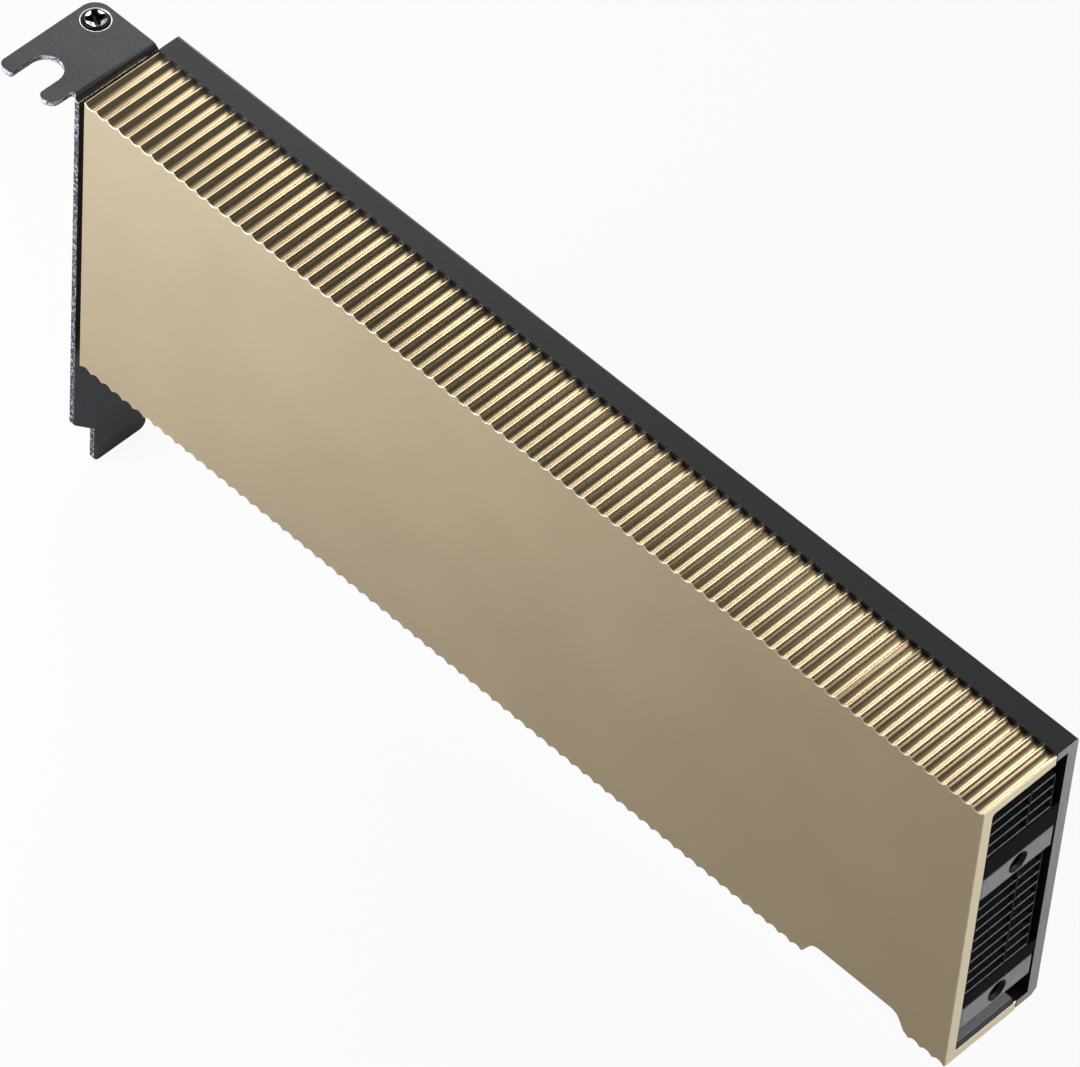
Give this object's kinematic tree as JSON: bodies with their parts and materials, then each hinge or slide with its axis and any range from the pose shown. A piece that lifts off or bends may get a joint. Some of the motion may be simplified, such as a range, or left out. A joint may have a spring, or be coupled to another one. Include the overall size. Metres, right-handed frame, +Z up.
{
  "type": "passive accelerator card",
  "caption": "Low-profile passive accelerator card: fluted gold cover, black back frame, open fin stack between crossbars at its free end, slotted metal bracket.",
  "frame": {"origin": "component face of the board at the lower edge of the contact tongue, on the centre line of its key notch", "axes": "+X along the card from the bracket to the open end, +Y from the fluted cover to the back frame, +Z up from the edge contacts"},
  "size_m": [0.1794, 0.0218, 0.0798],
  "materials": {
    "gold_anodised": "satin, anodised",
    "black_anodised": "satin, anodised, bare at the cut ends",
    "machined_aluminium": "fine milled",
    "black_fins": "satin, anodised, bare at the cut ends",
    "base_plate": "milled",
    "grey_bracket": "dark zinc plating, satin",
    "dark_screw": "black zinc plating",
    "board": "black solder mask, satin",
    "contact_gold": "hard gold plating",
    "black_spacer": "matt moulded",
    "grey_pad": "matt",
    "insulation": "matt film",
    "chip_mould": "fine matt moulding",
    "package_green": "satin laminate",
    "silicon": "polished",
    "thermal_pad": "matt, soft",
    "ferrite": "matt pressed powder",
    "tantalum": "matt moulded",
    "ceramic": "matt fired"
  },
  "bodies": {
    "root": {"heatsink_cover": "gold_anodised", "back_frame": "black_anodised", "circuit_board": "board", "edge_contacts": "contact_gold", "insulation_sheet": "insulation", "processor_package": "package_green", "processor_die": "silicon", "memory_chips": "chip_mould", "thermal_pads": "thermal_pad", "heatsink_base": "base_plate", "fin_stack": "black_fins", "upper_crossbar": "machined_aluminium", "lower_crossbar": "machined_aluminium", "upper_spacer": "black_spacer", "lower_spacer": "black_spacer", "floor_pad": "grey_pad", "io_bracket": "grey_bracket", "power_inductors": "ferrite", "power_stages": "chip_mould", "tantalum_capacitors": "tantalum", "ceramic_capacitors": "ceramic", "coupling_capacitors": "ceramic", "controller_chips": "chip_mould", "frame_screws": "dark_screw", "tab_screw": "dark_screw"}
  },
  "joints": []
}
